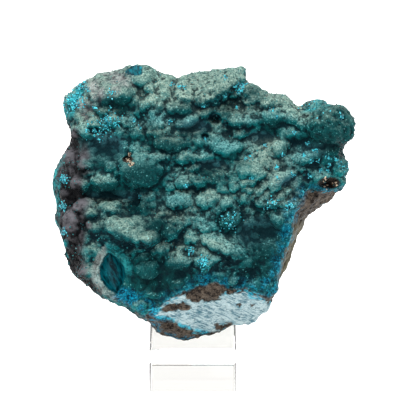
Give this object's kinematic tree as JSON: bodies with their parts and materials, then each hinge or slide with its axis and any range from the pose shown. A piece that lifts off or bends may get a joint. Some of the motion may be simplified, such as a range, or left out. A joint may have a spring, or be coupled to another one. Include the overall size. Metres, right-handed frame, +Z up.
{
  "type": "chrysocolla specimen on a clear display block",
  "caption": "Slab of brown matrix rock with a grape-like blue-green chrysocolla crust, leaning back on a small clear acrylic block.",
  "frame": {"origin": "centre of the display block's underside", "axes": "+Z up, the crust's face looks towards -Y and leans back by 25 degrees, +X to the right of one who looks at the face"},
  "size_m": [0.1037, 0.0589, 0.113],
  "materials": {
    "chrysocolla": "blue-green lumpy crust, satin to glassy, turquoise and bright blue at its broken edges, over dull purple-brown matrix",
    "clear_acrylic": "water-clear, polished on every side"
  },
  "bodies": {
    "root": {"chrysocolla_specimen": "chrysocolla", "display_block": "clear_acrylic"}
  },
  "joints": []
}
